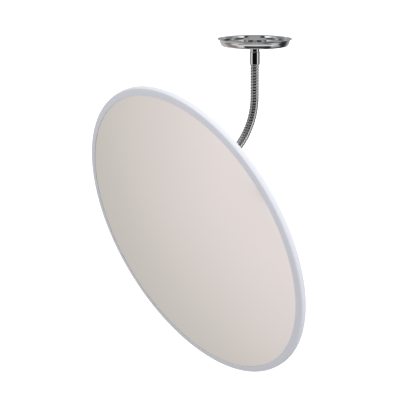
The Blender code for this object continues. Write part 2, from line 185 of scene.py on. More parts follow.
class NeckPath:
    """Smooth centre line through the neck's joints, measured down from its upper end."""

    def __init__(self):
        top = Vector((0.0, 0.0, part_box("upper_ferrule")[0].z))
        mouth = size_in("lower_ferrule", ATTACH)[1]
        end = ATTACH @ Vector((0.0, 0.0, mouth))
        self.knots = [top] + [Vector(joint["pos_m"]) for joint in JOINTS] + [end]
        self.along = [0.0]
        for first, second in zip(self.knots, self.knots[1:]):
            self.along.append(self.along[-1] + (second - first).length)
        self.length = self.along[-1]
        self.slopes = [Vector((0.0, 0.0, -1.0))]
        for index in range(1, len(self.knots) - 1):
            gap = self.knots[index + 1] - self.knots[index - 1]
            self.slopes.append(gap.normalized())
        self.slopes.append((ATTACH.to_3x3() @ Vector((0.0, 0.0, 1.0))).normalized())

    def point(self, s):
        if s <= 0.0:
            return self.knots[0] + self.slopes[0] * s
        if s >= self.length:
            return self.knots[-1] + self.slopes[-1] * (s - self.length)
        index = next(i for i in range(len(self.knots) - 1) if s <= self.along[i + 1])
        span = self.along[index + 1] - self.along[index]
        t = (s - self.along[index]) / span
        return (self.knots[index] * (2 * t ** 3 - 3 * t ** 2 + 1)
                + self.slopes[index] * span * (t ** 3 - 2 * t ** 2 + t)
                + self.knots[index + 1] * (3 * t ** 2 - 2 * t ** 3)
                + self.slopes[index + 1] * span * (t ** 3 - t ** 2))

    def around(self, s, angle):
        """Unit vector square to the path, turned by angle from +X."""
        step = 0.0005
        down = (self.point(s + step) - self.point(s - step)).normalized()
        return X_AXIS * math.cos(angle) + down.cross(X_AXIS) * math.sin(angle)

    def middle(self, index):
        """Place halfway between two joints; 0 and the last one are the ferrules' mouths."""
        if index == 0:
            return 0.0
        if index == len(JOINTS):
            return self.length
        return (self.along[index] + self.along[index + 1]) / 2.0


NECK = NeckPath()


# ------------------------------------------------------------------------ node tools
CREVICE_SAMPLES = 6


class Shader:
    """A material's node tree with short calls for the nodes used here."""

    def __init__(self, name):
        self.material = bpy.data.materials.new(name)
        self.material.use_nodes = True
        self.tree = self.material.node_tree
        self.base = self.tree.nodes["Principled BSDF"]
        self.place = self.node("ShaderNodeTexCoord").outputs["Object"]

    def node(self, kind, **settings):
        made = self.tree.nodes.new(kind)
        for key, value in settings.items():
            setattr(made, key, value)
        return made

    def put(self, target, value):
        """Link a socket, or set a plain value, on an input."""
        if isinstance(value, bpy.types.NodeSocket):
            self.tree.links.new(value, target)
        else:
            target.default_value = value

    def set(self, **values):
        for key, value in values.items():
            self.put(self.base.inputs[key.replace("_", " ")], value)

    def math(self, operation, first, second=0.0):
        made = self.node("ShaderNodeMath", operation=operation)
        self.put(made.inputs[0], first)
        self.put(made.inputs[1], second)
        return made.outputs[0]

    def stretched(self, scale):
        made = self.node("ShaderNodeMapping")
        self.put(made.inputs["Vector"], self.place)
        made.inputs["Scale"].default_value = scale
        return made.outputs["Vector"]

    def noise(self, scale, detail, vector=None, roughness=0.5):
        made = self.node("ShaderNodeTexNoise")
        self.put(made.inputs["Vector"], self.place if vector is None else vector)
        made.inputs["Scale"].default_value = scale
        made.inputs["Detail"].default_value = detail
        made.inputs["Roughness"].default_value = roughness
        return made.outputs["Fac"]

    def span(self, value, low, high, new_low, new_high):
        made = self.node("ShaderNodeMapRange")
        for key, number in (("Value", value), ("From Min", low), ("From Max", high),
                            ("To Min", new_low), ("To Max", new_high)):
            self.put(made.inputs[key], number)
        return made.outputs["Result"]

    def blend_colour(self, share, first, second):
        made = self.node("ShaderNodeMix", data_type="RGBA")
        self.put(made.inputs[0], share)
        self.put(made.inputs[6], first)
        self.put(made.inputs[7], second)
        return made.outputs[2]

    def towards(self, vector, direction):
        """How far a vector points along a given direction, -1 to 1."""
        made = self.node("ShaderNodeVectorMath", operation="DOT_PRODUCT")
        self.put(made.inputs[0], vector)
        made.inputs[1].default_value = direction
        return made.outputs["Value"]

    def warm_room(self, vector):
        """The warm room's colour along a direction, and its share of the surroundings."""
        nearness = self.span(self.towards(vector, FLAT_BACK), -0.95, 0.25, 0.0, 1.0)
        share = self.span(self.towards(vector, MIRROR_VIEW), 0.60, 0.66, 0.0, 1.0)
        return self.blend_colour(nearness, WARM_FAR, WARM_NEAR), share

    def bump(self, height, strength, distance, normal=None):
        made = self.node("ShaderNodeBump")
        made.inputs["Strength"].default_value = strength
        made.inputs["Distance"].default_value = distance
        self.put(made.inputs["Height"], height)
        if normal is not None:
            self.put(made.inputs["Normal"], normal)
        return made.outputs["Normal"]

    def ramp(self, value, stops):
        """A smooth grey ramp through (position, level) stops."""
        made = self.node("ShaderNodeValToRGB")
        made.color_ramp.interpolation = "EASE"
        elements = made.color_ramp.elements
        for element, (position, level) in zip(elements, (stops[0], stops[-1])):
            element.position, element.color = position, grey(level)
        for position, level in stops[1:-1]:
            elements.new(position).color = grey(level)
        self.put(made.inputs[0], value)
        return made.outputs[0]

    def crevice(self, distance):
        made = self.node("ShaderNodeAmbientOcclusion", samples=CREVICE_SAMPLES)
        made.inputs["Distance"].default_value = distance
        return made.outputs["AO"]

    def ring_place(self):
        """Distance from the object's Z axis, and height along it."""
        split = self.node("ShaderNodeSeparateXYZ")
        self.put(split.inputs[0], self.place)
        x2 = self.math("MULTIPLY", split.outputs[0], split.outputs[0])
        y2 = self.math("MULTIPLY", split.outputs[1], split.outputs[1])
        return self.math("SQRT", self.math("ADD", x2, y2)), split.outputs[2]


def grey(level):
    return (level, level, level, 1.0)


# ------------------------------------------------------------------------- materials
PLATE_BRIGHT = (0.80, 0.81, 0.825, 1.0)
PLATE_CLOUDED = (0.73, 0.735, 0.745, 1.0)
PLATE_PAINTED_FLANK = (0.12, 0.125, 0.13, 1.0)  # painted dark reflection where the chrome slants away from the eye
# painted shade for the chrome's side that faces the picture's left
PLATE_SHADED = (0.10, 0.10, 0.105, 1.0)
# painted shade for the chrome's crevices
PLATE_CREVICE_SHADE = (0.07, 0.07, 0.072, 1.0)
COIL_PALE = (0.74, 0.745, 0.75, 1.0)
COIL_CLOUDED = (0.62, 0.625, 0.63, 1.0)
# painted shade for the coil's grooves
COIL_CREVICE_SHADE = (0.20, 0.20, 0.20, 1.0)
SILVER_CLEAN = (0.965, 0.955, 0.95, 1.0)
SILVER_CLOUDED = (0.945, 0.935, 0.93, 1.0)
SILVER_DUST = (0.25, 0.22, 0.20, 1.0)
PAINT_SHARE = 0.85            # of the warm room, painted over what the mirror reflects
PAINT_NONE_WITHIN = 1.2       # camera distances between which that paint comes in
PAINT_FULL_BEYOND = 1.6
TRIM_WHITE = (0.86, 0.875, 0.91)
PAN_WHITE = (0.82, 0.83, 0.84)
PLASTIC_SHADE = 0.93          # how dark the handled patches are, against clean plastic
# painted shade for the plastic's crevices
PLASTIC_CREVICE_SHADE = (0.38, 0.37, 0.36, 1.0)
ZINC_PALE = (0.60, 0.61, 0.62, 1.0)
ZINC_CLOUDED = (0.50, 0.505, 0.50, 1.0)


def chrome_material(name, lathe_marks=True, crevice_shade_distance=0.0, painted_flank_share=0.72,
                    shaded_side=0.0):
    """Bright chrome plate with polishing marks and haze.

    Painted light: it is darker where it slants away from the eye, a painted dark reflection,
    by the share painted_flank_share; darker where it faces the picture's left, painted
    shade, by the share shaded_side; and darker in crevices under crevice_shade_distance,
    painted shade.
    """
    sh = Shader(name)
    haze = sh.noise(scale=38.0, detail=5.0)
    smudge = sh.noise(scale=9.0, detail=3.0)
    roughness = sh.math("ADD", sh.span(haze, 0.35, 0.75, 0.025, 0.085),
                        sh.span(smudge, 0.45, 0.70, 0.0, 0.035))
    colour = sh.blend_colour(sh.span(smudge, 0.40, 0.75, 0.0, 1.0),
                             PLATE_BRIGHT, PLATE_CLOUDED)
    slant = sh.node("ShaderNodeLayerWeight").outputs["Facing"]
    # painted dark reflection: the colour darkens where the chrome slants partly away from the eye
    flank = sh.math("MULTIPLY", sh.span(slant, 0.26, 0.33, 0.0, 1.0),
                    sh.span(slant, 0.47, 0.58, 1.0, 0.0))
    colour = sh.blend_colour(sh.math("MULTIPLY", flank, painted_flank_share), colour, PLATE_PAINTED_FLANK)
    if crevice_shade_distance > 0.0:
        # painted shade: crevices that ambient occlusion finds are darkened in the colour
        crevice_shade = sh.span(sh.crevice(crevice_shade_distance), 0.35, 0.80, 1.0, 0.0)
        colour = sh.blend_colour(crevice_shade, colour, PLATE_CREVICE_SHADE)
    if shaded_side > 0.0:
        # painted shade: the side facing the picture's left is darkened in the colour
        square = sh.node("ShaderNodeNewGeometry").outputs["Normal"]
        turned_away = sh.span(sh.towards(square, RIGHT), -0.70, -0.15, shaded_side, 0.0)
        colour = sh.blend_colour(turned_away, colour, PLATE_SHADED)
    normal = None
    if lathe_marks:
        radius, height = sh.ring_place()
        joined = sh.node("ShaderNodeCombineXYZ")
        sh.put(joined.inputs[0], radius)
        sh.put(joined.inputs[1], height)
        marks = sh.noise(scale=2600.0, detail=2.0, vector=joined.outputs[0])
        normal = sh.bump(marks, strength=0.05, distance=0.00004)
    scratch = sh.noise(scale=160.0, detail=3.0, vector=sh.stretched((1.0, 7.0, 22.0)), roughness=0.65)
    scratched = sh.span(scratch, 0.60, 0.68, 0.0, 1.0)
    normal = sh.bump(scratched, strength=0.05, distance=0.00003, normal=normal)
    sh.set(Base_Color=colour, Metallic=1.0, Roughness=roughness, Normal=normal)
    return sh.material


def coil_material():
    """The round wire's plating: paler and duller than the outer wire's."""
    sh = Shader("gooseneck_coil_look")
    cloud = sh.noise(scale=300.0, detail=3.0)
    drawn = sh.noise(scale=1400.0, detail=2.0, vector=sh.stretched((1.0, 1.0, 6.0)))
    colour = sh.blend_colour(sh.span(cloud, 0.35, 0.65, 0.0, 1.0),
                             COIL_PALE, COIL_CLOUDED)
    # painted shade: the grooves between the wires are darkened where ambient occlusion finds a
    # crevice
    crevice_shade = sh.span(sh.crevice(0.0006), 0.10, 0.45, 0.7, 0.0)
    colour = sh.blend_colour(crevice_shade, colour, COIL_CREVICE_SHADE)
    sh.set(Base_Color=colour, Metallic=1.0, Normal=sh.bump(drawn, strength=0.10, distance=0.00002),
           Roughness=sh.span(cloud, 0.3, 0.7, 0.38, 0.50))
    return sh.material


def mirror_material():
    """Silvered acrylic: a slightly warm reflection, faint ripple, dust and wipe marks.

    The world's dark corner would show as black patches from most sides, so where the
    mirror reflects anything but the warm room, that room's colour is painted over it as
    emission. Only a camera far enough away sees the paint: where a ray length reads as 1,
    as it does in a bake, this is a plain mirror.
    """
    sh = Shader("silvered_acrylic_look")
    ripple = sh.noise(scale=5.5, detail=1.0)
    fine = sh.noise(scale=60.0, detail=2.0)
    normal = sh.bump(ripple, strength=0.10, distance=0.0012)
    normal = sh.bump(fine, strength=0.03, distance=0.00005, normal=normal)
    wipe = sh.noise(scale=14.0, detail=5.0, vector=sh.stretched((1.0, 0.25, 1.0)), roughness=0.6)
    specks = sh.node("ShaderNodeTexVoronoi", feature="F1", distance="EUCLIDEAN")
    sh.put(specks.inputs["Vector"], sh.place)
    specks.inputs["Scale"].default_value = 26.0
    speck = sh.span(specks.outputs["Distance"], 0.018, 0.030, 1.0, 0.0)
    rare = sh.span(sh.noise(scale=7.0, detail=1.0), 0.60, 0.64, 0.0, 0.6)
    dust = sh.math("MULTIPLY", speck, rare)
    roughness = sh.math("ADD", sh.span(wipe, 0.35, 0.75, 0.10, 0.17),
                        sh.math("MULTIPLY", dust, 0.5))
    clean = sh.blend_colour(sh.span(ripple, 0.3, 0.7, 0.0, 1.0),
                            SILVER_CLEAN, SILVER_CLOUDED)
    colour = sh.blend_colour(dust, clean, SILVER_DUST)
    reflected = sh.node("ShaderNodeTexCoord").outputs["Reflection"]
    room, inside = sh.warm_room(reflected)
    distance = sh.node("ShaderNodeLightPath").outputs["Ray Length"]
    from_afar = sh.span(distance, PAINT_NONE_WITHIN, PAINT_FULL_BEYOND, 0.0, PAINT_SHARE)
    paint = sh.math("MULTIPLY", sh.math("SUBTRACT", 1.0, inside), from_afar)
    colour = sh.blend_colour(paint, colour, grey(0.0))
    sh.set(Base_Color=colour, Metallic=1.0, Roughness=roughness, Normal=normal,
           Coat_Weight=0.15, Coat_Roughness=0.03, Coat_IOR=1.49,
           Emission_Color=room, Emission_Strength=paint)
    return sh.material


def plastic_material(name, colour, grain_scale, grain_depth, extruded=False):
    """White plastic with a fine grain, faint handling marks and painted shade in its crevices."""
    sh = Shader(name)
    cloud = sh.noise(scale=7.0, detail=4.0)
    mark = sh.noise(scale=55.0, detail=6.0, vector=sh.stretched((1.0, 3.0, 1.0)), roughness=0.7)
    dull = tuple(channel * PLASTIC_SHADE for channel in colour)
    tone = sh.blend_colour(sh.span(cloud, 0.35, 0.70, 0.0, 0.55), (*colour, 1.0),
                           (*dull, 1.0))
    # painted shade: crevices that ambient occlusion finds are darkened in the colour
    crevice_shade = sh.span(sh.crevice(0.004), 0.15, 0.60, 0.50, 0.0)
    tone = sh.blend_colour(crevice_shade, tone, PLASTIC_CREVICE_SHADE)
    grain = sh.noise(scale=grain_scale, detail=3.0)
    normal = sh.bump(grain, strength=0.30, distance=grain_depth)
    if extruded:
        radius, height = sh.ring_place()
        across = sh.math("ADD", radius, height)
        joined = sh.node("ShaderNodeCombineXYZ")
        sh.put(joined.inputs[0], across)
        lines = sh.noise(scale=1500.0, detail=2.0, vector=joined.outputs[0])
        normal = sh.bump(lines, strength=0.16, distance=0.00006, normal=normal)
    roughness = sh.math("ADD", sh.span(mark, 0.35, 0.75, 0.34, 0.46),
                        sh.span(cloud, 0.4, 0.7, 0.0, 0.05))
    sh.set(Base_Color=tone, Roughness=roughness, Normal=normal, IOR=1.48,
           Subsurface_Weight=0.04, Subsurface_Scale=0.002)
    return sh.material


def zinc_material():
    """Zinc-plated steel: cloudy blue-grey spangle with a brushed grain."""
    sh = Shader("zinc_steel_look")
    cloud = sh.noise(scale=220.0, detail=4.0)
    brushed = sh.noise(scale=900.0, detail=3.0, vector=sh.stretched((1.0, 0.08, 1.0)))
    colour = sh.blend_colour(sh.span(cloud, 0.35, 0.65, 0.0, 1.0),
                             ZINC_PALE, ZINC_CLOUDED)
    normal = sh.bump(brushed, strength=0.12, distance=0.00003)
    sh.set(Base_Color=colour, Metallic=1.0, Normal=normal,
           Roughness=sh.span(cloud, 0.3, 0.7, 0.26, 0.42))
    return sh.material


CHROME = chrome_material("chrome_plate_look")
WIRE_CHROME = chrome_material("gooseneck_wire_look", lathe_marks=False,
                              crevice_shade_distance=0.0012, painted_flank_share=0.20, shaded_side=0.80)
COIL_CHROME = coil_material()
MIRROR = mirror_material()
TRIM = plastic_material("white_trim_look", TRIM_WHITE, grain_scale=900.0,
                        grain_depth=0.00004, extruded=True)
BACK_PLASTIC = plastic_material("back_plastic_look", PAN_WHITE, grain_scale=620.0,
                                grain_depth=0.00010)
ZINC = zinc_material()


# -------------------------------------------------------------------------- modelling
def arc(centre, radius, start, end, segments=10):
    """Outline points on an arc between two angles from the radial direction."""
    points = []
    for step in range(segments + 1):
        angle = start + (end - start) * step / segments
        points.append((centre[0] + radius * math.cos(angle),
                       centre[1] + radius * math.sin(angle)))
    return points


def filleted(corners, segments=FILLET_STEPS):
    """Closed outline from (radius, height, fillet) corners, with the fillets as arcs."""
    outline = []
    count = len(corners)
    for index, (radius, height, fillet) in enumerate(corners):
        here = Vector((radius, height))
        if fillet <= 0.0:
            outline.append(here)
            continue
        before = (Vector(corners[index - 1][:2]) - here).normalized()
        after = (Vector(corners[(index + 1) % count][:2]) - here).normalized()
        half = before.angle(after) / 2.0
        centre = here + (before + after).normalized() * (fillet / math.sin(half))
        setback = fillet / math.tan(half)
        first = here + before * setback - centre
        last = here + after * setback - centre
        sweep = first.angle_signed(last)
        for step in range(segments + 1):
            arm = first.copy()
            arm.rotate(Matrix.Rotation(-sweep * step / segments, 2))
            outline.append(centre + arm)
    return outline


def placed(name, shape, base=HOME):
    """Turn a bmesh into an object in the scene, and free it."""
    mesh = bpy.data.meshes.new(name)
    shape.to_mesh(mesh)
    shape.free()
    obj = bpy.data.objects.new(name, mesh)
    bpy.context.scene.collection.objects.link(obj)
    obj.matrix_world = base
    return obj


def finish_mesh(name, shape, material, base=HOME, sharp=SHARP):
    """Make a piece from a bmesh, faces out, smooth except at sharp edges."""
    bmesh.ops.remove_doubles(shape, verts=shape.verts, dist=MERGE_DISTANCE)
    bmesh.ops.recalc_face_normals(shape, faces=shape.faces)
    obj = placed(name, shape, base)
    obj.data.shade_smooth()
    obj.data.set_sharp_from_angle(angle=math.radians(sharp))
    obj.data.materials.append(material)
    return obj


def lathe(name, outline, steps, material, base=HOME, seam=0.0, sharp=SHARP):
    """Turn a closed outline about Z. A seam is a gap of that angle at -Y."""
    shape = bmesh.new()
    rings = []
    turns = steps + 1 if seam > 0.0 else steps
    start = -math.pi / 2.0 + seam / 2.0
    for radius, height in outline:
        if radius < MERGE_DISTANCE:
            rings.append([shape.verts.new((0.0, 0.0, height))] * turns)
            continue
        ring = []
        for step in range(turns):
            angle = start + (FULL_TURN - seam) * step / steps
            spot = (radius * math.cos(angle), radius * math.sin(angle), height)
            ring.append(shape.verts.new(spot))
        rings.append(ring)
    count = len(rings)
    for index in range(count):
        first, second = rings[index], rings[(index + 1) % count]
        if first[0] is first[1 % turns] and second[0] is second[1 % turns]:
            continue
        for step in range(steps):
            following = (step + 1) % turns
            corners = [first[step], first[following], second[following], second[step]]
            shape.faces.new(list(dict.fromkeys(corners)))
    if seam > 0.0:
        for end in (0, turns - 1):
            shape.faces.new([ring[end] for ring in rings])
    return finish_mesh(name, shape, material, base, sharp)


def rod_grid(name, rings, material, base, sharp):
    """Close a stack of equal rings of points into one solid with flat ends."""
    shape = bmesh.new()
    made = [[shape.verts.new(point) for point in ring] for ring in rings]
    sides = len(made[0])
    for first, second in zip(made, made[1:]):
        for side in range(sides):
            following = (side + 1) % sides
            shape.faces.new((first[side], first[following], second[following],
                             second[side]))
    shape.faces.new(made[0])
    shape.faces.new(made[-1])
    return finish_mesh(name, shape, material, base, sharp)


def threaded_stud(name, node, base, body):
    """A rod along Z with a real helical thread that fades out at its chamfered ends."""
    _, low, high = size_in(node, base)
    steps_per_turn = 8
    steps = int((high - low) / STUD_PITCH * steps_per_turn)
    chamfer = STUD_PITCH * 0.8
    rings = []
    for step in range(steps + 1):
        z = low + (high - low) * step / steps
        to_end = min(z - low, high - z)
        limit = STUD_RADIUS - max(0.0, chamfer - to_end)
        ring = []
        for side in range(STUD_STEPS):
            angle = FULL_TURN * side / STUD_STEPS
            phase = (z / STUD_PITCH - angle / FULL_TURN) % 1.0
            cut = STUD_THREAD_DEPTH * (1.0 - abs(2.0 * phase - 1.0))
            reach = min(STUD_RADIUS - cut, limit)
            ring.append((reach * math.cos(angle), reach * math.sin(angle), z))
        rings.append(ring)
    stud = rod_grid(name, rings, ZINC, base, sharp=60.0)
    shown(stud, body, node)


def cutter(radius, low, high, base, sides=HOLE_STEPS, radius_high=None):
    """A temporary cutter along Z of a frame: round, six-sided or, if it widens, a cone."""
    shape = bmesh.new()
    bmesh.ops.create_cone(shape, cap_ends=True, segments=sides, radius1=radius,
                          radius2=radius_high or radius, depth=high - low)
    bmesh.ops.translate(shape, verts=shape.verts, vec=(0.0, 0.0, (low + high) / 2.0))
    return placed("cutter", shape, base)


def carve(obj, cutters):
    """Cut holes, keep the result as the object's mesh and remove the cutters."""
    for tool in cutters:
        boolean = obj.modifiers.new("hole", "BOOLEAN")
        boolean.operation = "DIFFERENCE"
        boolean.solver = "EXACT"
        boolean.object = tool
    bpy.context.view_layer.update()
    evaluated = obj.evaluated_get(bpy.context.evaluated_depsgraph_get())
    mesh = bpy.data.meshes.new_from_object(evaluated)
    obj.modifiers.clear()
    obj.data = mesh
    mesh.set_sharp_from_angle(angle=math.radians(SHARP))
    for tool in cutters:
        bpy.data.objects.remove(tool, do_unlink=True)


def shown(obj, body, node):
    """Let a finished piece ride on its body in place of a CAD node."""
    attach(obj, body)
    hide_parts(node)


def on_circle(base, diameter, count=3):
    """Frames spread evenly round a circle in a frame, the first one at +X."""
    for index in range(count):
        angle = FULL_TURN * index / count
        spot = Vector((math.cos(angle), math.sin(angle), 0.0)) * diameter / 2.0
        yield base @ Matrix.Translation(spot)


# -------------------------------------------------------------------------- ceiling rose
def ceiling_rose():
    """Spun dish: thin rim, hollow cove under it, bulging wall and rounded foot."""
    rim, floor, _ = size_in("ceiling_rose", HOME)
    sheet = 0.0012
    rim_edge = -0.0007
    cove = 0.0031
    wall = rim - cove
    outside = [(rim, 0.0, 0.0005), (rim, rim_edge, 0.0001)]
    outside += [(*point, 0.0) for point in arc((rim, rim_edge - cove), cove,
                                               math.pi * 0.56, math.pi)]
    outside += [(wall - 0.0004, -0.0053, 0.0010), (wall - 0.0018, -0.0079, 0.0010),
                (wall - 0.0032, -0.0094, 0.0012), (wall - 0.0072, floor, 0.0050)]
    inside = [(wall - 0.0078, floor + sheet, 0.0040), (wall - 0.0040, -0.0076, 0.0030),
              (wall - 0.0020, -0.0055, 0.0030), (wall - sheet, -0.0032, 0.0012),
              (wall + 0.0004, -0.0008, 0.0010), (rim - sheet, 0.0, 0.0003)]
    hole = [(STUD_HOLE, floor, 0.0), (STUD_HOLE, floor + sheet, 0.0)]
    rose = lathe("rose_dish", filleted(outside + hole + inside), ROSE_STEPS, CHROME)
    screw_circle, hole_below, hole_above = 0.052, 0.0020, 0.0034
    carve(rose, [cutter(hole_below, floor - 0.001, floor + 0.003, spot, SMALL_STEPS,
                        radius_high=hole_above)
                 for spot in on_circle(HOME, screw_circle)])
    shown(rose, "ceiling_mount", "ceiling_rose")


def toothed_washer():
    """Flat lock washer with teeth round its outside."""
    radius, low, high = size_in("hub_lock_washer", HOME)
    teeth = 14
    steps = teeth * 8
    tooth_depth = 0.20            # share of the radius
    steepness = 1.8               # over 1, the teeth have flat tips
    shape = bmesh.new()
    loops = []
    for height in (low, high):
        outer_ring, inner_ring = [], []
        for step in range(steps):
            angle = FULL_TURN * step / steps
            across, along = math.cos(angle), math.sin(angle)
            wave = 0.5 + 0.5 * math.cos(angle * teeth)
            reach = radius * (1.0 - tooth_depth * (1.0 - min(1.0, wave * steepness)))
            outer_ring.append(shape.verts.new((reach * across, reach * along, height)))
            inner_ring.append(shape.verts.new((STUD_HOLE * across, STUD_HOLE * along,
                                               height)))
        loops += [outer_ring, inner_ring]
    low_out, low_in, high_out, high_in = loops
    for step in range(steps):
        following = (step + 1) % steps
        for first, second in ((low_out, high_out), (high_in, low_in), (low_in, low_out),
                              (high_out, high_in)):
            shape.faces.new((first[step], first[following], second[following],
                             second[step]))
    washer = finish_mesh("toothed_washer", shape, ZINC)
    shown(washer, "ceiling_mount", "hub_lock_washer")


def clamp_hub():
    """Turned hub with a closed flat top, a sloping edge and two spanner holes."""
    radius, low, high = size_in("rose_clamp_hub", HOME)
    skin = 0.0015
    shoulder = -0.0040
    outline = filleted([
        (0.0, high, 0.0), (radius - 0.0025, high, 0.0010),
        (radius - 0.0006, shoulder, 0.0008), (radius, low, 0.0002), (STUD_HOLE, low, 0.0),
        (STUD_HOLE, high - skin, 0.0), (0.0, high - skin, 0.0)])
    hub = lathe("clamp_hub", outline, HUB_STEPS, CHROME)
    spanner_offset, spanner_radius, spanner_depth = 0.0095, 0.0014, 0.0035
    carve(hub, [cutter(spanner_radius, high - spanner_depth, high + 0.001,
                       Matrix.Translation((0.0, place, 0.0)))
                for place in (-spanner_offset, spanner_offset)])
    shown(hub, "ceiling_mount", "rose_clamp_hub")


def plain_washer(name, node, base, body, material):
    """Flat washer with a rounded outer edge."""
    radius, low, high = size_in(node, base)
    edge = (high - low) * 0.3
    outline = filleted([(radius, high, edge), (radius, low, edge), (STUD_HOLE, low, 0.0),
                        (STUD_HOLE, high, 0.0)], SMALL_FILLET_STEPS)
    washer = lathe(name, outline, SMALL_STEPS, material, base)
    shown(washer, body, node)


def ferrule(name, node, base, body):
    """Plated sleeve: slim collar at the top, a soft shoulder and a socket for the neck."""
    radius, low, high = size_in(node, base)
    collar = radius - 0.0006
    collar_end = high - 0.0049
    shoulder = high - 0.0056
    mouth = NECK_RADIUS + 0.0003
    floor = low + 0.0120
    outline = filleted([
        (collar, high, 0.0003), (collar, collar_end, 0.0003), (radius, shoulder, 0.0005),
        (radius, low, 0.0006), (mouth, low, 0.0001), (mouth, floor, 0.0),
        (STUD_HOLE, floor, 0.0), (STUD_HOLE, high, 0.0)])
    sleeve = lathe(name, outline, SMALL_STEPS, CHROME, base)
    shown(sleeve, body, node)


def rose_parts():
    ceiling_rose()
    toothed_washer()
    clamp_hub()
    plain_washer("rose_washer_fine", "rose_washer", HOME, "ceiling_mount",
                 CHROME)
    threaded_stud("upper_stud_thread", "upper_stud", HOME, "ceiling_mount")
    ferrule("upper_ferrule_sleeve", "upper_ferrule", HOME, "ceiling_mount")


# ----------------------------------------------------------------------------- gooseneck
def outer_wire_section(radius):
    """(along, out) points of the three-sided outer wire, its broad face outwards."""
    half = WIRE_PITCH * 0.36
    bulge, rounding = 0.00004, 0.00026
    crown = [(share * half, radius - bulge * share ** 2 - rounding * share ** 10)
             for share in (-1.0, -0.92, -0.8, -0.6, -0.3, 0.0, 0.3, 0.6, 0.8, 0.92, 1.0)]
    flank, flank_half = radius - 0.00095, half * 0.84
    root, root_half = radius - 0.00205, 0.00018
    return crown + [(flank_half, flank), (root_half, root), (-root_half, root),
                    (-flank_half, flank)]


def inner_wire_section():
    """(along, out) points of the round inner wire, half a turn from the outer one."""
    sides = 12
    return [(WIRE_PITCH / 2.0 + COIL_WIRE * math.cos(FULL_TURN * side / sides),
             COIL_RADIUS + COIL_WIRE * math.sin(FULL_TURN * side / sides))
            for side in range(sides)]


def wound_wire(name, section, start, end, material):
    """A wire wound round the neck's centre line between two places on it."""
    steps = round((end - start) / WIRE_PITCH * WIRE_STEPS)
    rings = []
    for step in range(steps + 1):
        s = start + (end - start) * step / steps
        angle = FULL_TURN * s / WIRE_PITCH
        rings.append([NECK.point(s + along) + NECK.around(s + along, angle) * out
                      for along, out in section])
    return rod_grid(name, rings, material, HOME, sharp=38.0)


def gooseneck():
    """Each stretch of both wires is wound along the neck's curve across one joint, from the middle of
    the body on one side of it to the middle of the body on the other.
    """
    wires = {"outer_wire": (outer_wire_section(NECK_RADIUS), WIRE_CHROME),
             "inner_wire": (inner_wire_section(), COIL_CHROME)}
    last = len(JOINTS) - 1
    for index, joint in enumerate(JOINTS):
        start = NECK.middle(index)
        end = NECK.middle(index + 1)
        wire_start, wire_end = start, end
        nodes = ["gooseneck_link_%02d" % index]
        if index == 0:
            wire_start -= NECK_INSIDE
            nodes = ["gooseneck_upper_end"]
        if index == last:
            wire_end += NECK_INSIDE
            nodes.append("gooseneck_lower_end")
        for kind, (section, material) in wires.items():
            wire = wound_wire("%s_%02d" % (kind, index + 1), section, wire_start,
                              wire_end, material)
            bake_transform(wire)
            if kind == "outer_wire":
                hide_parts(*nodes)


# --------------------------------------------------------------------------- mirror head
def mirror_cap():
    """Formed cap: a shallow sphere as wide and as high as the CAD one."""
    radius, low, high = size_in("mirror_dome", HEAD)
    thickness = 0.0020
    sphere = sphere_radius(radius, low, high, thickness)
    centre = (0.0, high - sphere)
    edge = math.pi / 2.0 - math.asin(radius / sphere)
    rings = 56
    outline = arc(centre, sphere, math.pi / 2.0, edge, rings)
    outline += arc(centre, sphere - thickness, edge, math.pi / 2.0, rings)
    cap = lathe("mirror_cap", outline, DISC_STEPS, MIRROR, sharp=60.0)
    cap.data.transform(HEAD)
    cap.visible_glossy = False
    shown(cap, "mirror_head", "mirror_dome")


def sphere_radius(radius, low, high, thickness):
    """Radius of the cap's front, from its width and the height of its inner edge."""
    def inner_edge(sphere):
        share = math.sqrt(1.0 - (radius / sphere) ** 2)
        return high - sphere + (sphere - thickness) * share

    small, large = radius * 1.2, radius * 8.0
    halvings = 60
    for _ in range(halvings):
        middle = (small + large) / 2.0
        if inner_edge(middle) < low:
            small = middle
        else:
            large = middle
    return (small + large) / 2.0


def edge_trim():
    """Channel of white plastic round the edges of the cap and the pan, butted below."""
    radius, low, _ = size_in("edge_trim", HEAD)
    front_lip = radius - 0.0095
    back_lip = front_lip - 0.0020
    web = radius - 0.0020
    back_inside = low + 0.0014
    outline = filleted([
        (front_lip, 0.0, 0.0005), (radius - 0.0006, -0.0023, 0.0018),
        (radius, -0.0052, 0.0010), (radius, low, 0.0016), (back_lip, low, 0.0004),
        (back_lip, back_inside, 0.0004), (web, back_inside, 0.0003),
        (web, -0.0038, 0.0003), (front_lip, -0.0015, 0.0004)])
    trim = lathe("trim_channel", outline, DISC_STEPS, TRIM, HEAD,
                 seam=SEAM_WIDTH / radius)
    trim.visible_glossy = False
    shown(trim, "mirror_head", "edge_trim")


def back_pan():
    """Moulded pan with two stiffening beads pressed into its floor."""
    radius, back, front = size_in("back_plate", HEAD)
    thick = 0.0018
    floor_edge, flange = 0.1740, 0.1830
    wall = 0.0012                 # of the sloping side, measured along the radius
    bead_depth, bead_foot, bead_top = 0.0010, 0.0050, 0.0030
    corners = [(0.0, back + thick, 0.0), (floor_edge, back + thick, 0.0020),
               (flange, front, 0.0014), (radius, front, 0.0002),
               (radius, front - thick, 0.0002), (flange + wall, front - thick, 0.0020),
               (floor_edge + wall, back, 0.0030)]
    for bead in (0.158, 0.118):
        corners += [(bead + bead_foot, back, 0.0020),
                    (bead + bead_top, back - bead_depth, 0.0016),
                    (bead - bead_top, back - bead_depth, 0.0016),
                    (bead - bead_foot, back, 0.0020)]
    corners.append((0.0, back, 0.0))
    pan = lathe("back_pan", filleted(corners, SMALL_FILLET_STEPS), DISC_STEPS,
                BACK_PLASTIC, HEAD)
    holes = [(STUD_HOLE, ATTACH)]
    holes += [(SCREW_HOLE, spot) for spot in on_circle(ATTACH, BOSS_CIRCLE)]
    carve(pan, [cutter(size, back - 0.002, back + 0.004, spot) for size, spot in holes])
    pan.visible_glossy = False
    shown(pan, "mirror_head", "back_plate")


